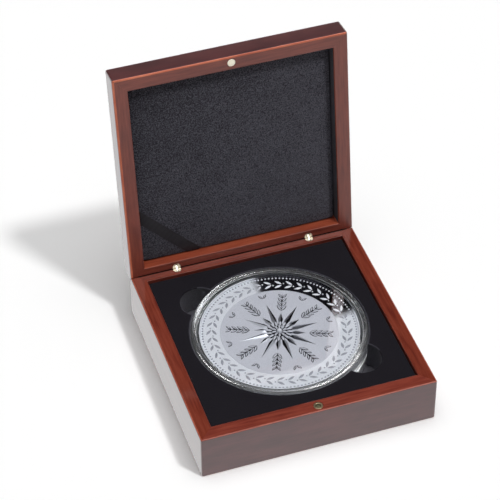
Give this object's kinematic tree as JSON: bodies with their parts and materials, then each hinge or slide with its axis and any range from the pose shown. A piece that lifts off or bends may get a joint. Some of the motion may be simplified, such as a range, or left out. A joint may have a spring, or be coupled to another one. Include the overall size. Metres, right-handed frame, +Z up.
{
  "type": "coin display case",
  "caption": "Square wooden display case standing open on hidden barrel hinges, with a velour insert and a large silver coin in a clear round capsule.",
  "frame": {"origin": "centre of the square underside of the base", "axes": "+Z up, front of the case towards -Y, hinges towards +Y, +X to the right of a viewer in front; the lid stands open at rest"},
  "size_m": [0.15, 0.1803, 0.1768],
  "materials": {
    "lacquered_wood": "glossy red-brown lacquer",
    "panel_wood": "satin red-brown lacquer",
    "black_velour": "short-pile black velour over a foam board",
    "grey_lining": "speckled dark grey velour",
    "liner_board": "plain grey board",
    "black_ribbon": "flat woven black ribbon",
    "brass": "polished",
    "steel": "drawn wire",
    "magnet": "dull plated magnet",
    "silver": "mirror ring with frosted relief",
    "clear_acrylic": "clear polished acrylic"
  },
  "bodies": {
    "base": {"base_front_wall": "lacquered_wood", "base_rear_wall": "lacquered_wood", "base_left_wall": "lacquered_wood", "base_right_wall": "lacquered_wood", "base_bottom_panel": "panel_wood", "insert_bed": "black_velour", "insert_tray": "black_velour", "catch_magnet_cup": "brass", "catch_magnet": "magnet", "left_hinge_base_barrel": "brass", "left_hinge_base_pin": "steel", "right_hinge_base_barrel": "brass", "right_hinge_base_pin": "steel"},
    "left_link": {"left_hinge_link": "brass"},
    "right_link": {"right_hinge_link": "brass"},
    "lid": {"lid_front_wall": "lacquered_wood", "lid_rear_wall": "lacquered_wood", "lid_left_wall": "lacquered_wood", "lid_right_wall": "lacquered_wood", "lid_top_panel": "panel_wood", "lid_liner_pad": "grey_lining", "lid_liner_board": "liner_board", "certificate_ribbon": "black_ribbon", "catch_strike_disc": "brass", "left_hinge_lid_barrel": "brass", "left_hinge_lid_pin": "steel", "right_hinge_lid_barrel": "brass", "right_hinge_lid_pin": "steel"},
    "capsule": {"capsule_lower_shell": "clear_acrylic", "coin": "silver"},
    "capsule_cap": {"capsule_upper_shell": "clear_acrylic"}
  },
  "joints": [
    {"name": "lid_lower_pivot", "type": "hinge", "parent": "base", "child": "left_link", "pos_m": [-0.0447, 0.07035, 0.0306], "axis": [1, 0, 0], "range_deg": [0, 48.85]},
    {"name": "lid_upper_pivot", "type": "hinge", "parent": "left_link", "child": "lid", "pos_m": [-0.0447, 0.07268, 0.03264], "axis": [1, 0, 0], "range_deg": [0, 48.85]},
    {"name": "right_link_pivot", "type": "hinge", "parent": "base", "child": "right_link", "pos_m": [0.0447, 0.07035, 0.0306], "axis": [1, 0, 0], "range_deg": [0, 48.85]},
    {"name": "capsule_lift", "type": "slide", "parent": "base", "child": "capsule", "axis": [0, 0, 1], "range_m": [0, 0.004]},
    {"name": "capsule_open", "type": "slide", "parent": "capsule", "child": "capsule_cap", "axis": [0, 0, 1], "range_m": [0, 0.003]}
  ],
  "couplings": [
    {"joint": "lid_upper_pivot", "follows": "lid_lower_pivot", "ratio": 1},
    {"joint": "right_link_pivot", "follows": "lid_lower_pivot", "ratio": 1}
  ]
}
